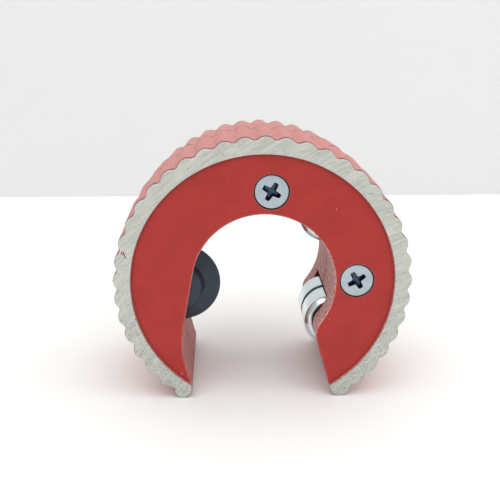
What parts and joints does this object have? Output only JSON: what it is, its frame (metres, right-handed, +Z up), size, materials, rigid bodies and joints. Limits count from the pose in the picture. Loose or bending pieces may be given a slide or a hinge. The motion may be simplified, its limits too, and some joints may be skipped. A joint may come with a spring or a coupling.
{
  "type": "pipe cutter",
  "caption": "Palm-size ring tube cutter: split cast C body with scalloped grip, sprung cutting wheel facing steel rollers across a round throat.",
  "frame": {"origin": "centre of the bounding box, on the surface that the two leg tips stand on", "axes": "+X from the cutting wheel towards the rollers, +Y along the ring's axis to the rear shell, +Z up from the leg tips to the crown"},
  "size_m": [0.0562, 0.027, 0.0514],
  "materials": {
    "shell": "red paint on die-cast zinc, rim ground bare",
    "roller": "turned and polished",
    "cutter": "hardened and blackened",
    "screw": "bright zinc plate",
    "pin": "ground",
    "washer": "plain",
    "slider": "sintered, oiled",
    "spring": "spring wire"
  },
  "bodies": {
    "housing": {"front_shell": "shell", "rear_shell": "shell", "top_screw": "screw", "side_screw": "screw", "left_leg_dowel": "pin", "right_leg_dowel": "pin", "crown_dowel": "pin", "upper_roller_pin": "pin", "lower_roller_pin": "pin", "upper_front_washer": "washer", "upper_rear_washer": "washer", "lower_front_washer": "washer", "lower_rear_washer": "washer", "front_spring": "spring", "rear_spring": "spring"},
    "upper_roller": {"upper_roller": "roller"},
    "lower_roller": {"lower_roller": "roller"},
    "carriage": {"cutter_spindle": "pin", "front_slider": "slider", "rear_slider": "slider"},
    "cutter_wheel": {"cutter_wheel": "cutter"}
  },
  "joints": [
    {"name": "upper_roller_spin", "type": "hinge", "parent": "housing", "child": "upper_roller", "pos_m": [0.0125, 0, 0.0349], "axis": [0, 1, 0], "continuous": true},
    {"name": "lower_roller_spin", "type": "hinge", "parent": "housing", "child": "lower_roller", "pos_m": [0.014, 0, 0.01295], "axis": [0, 1, 0], "continuous": true},
    {"name": "cutter_slide", "type": "slide", "parent": "housing", "child": "carriage", "axis": [-0.1, 0, 0.995], "range_m": [0, 0.01], "stiffness_N_per_m": 600, "springref_m": -0.004, "deforming": ["front_spring", "rear_spring"]},
    {"name": "cutter_spin", "type": "hinge", "parent": "carriage", "child": "cutter_wheel", "pos_m": [-0.01625, 0, 0.01925], "axis": [0, 1, 0], "continuous": true}
  ]
}
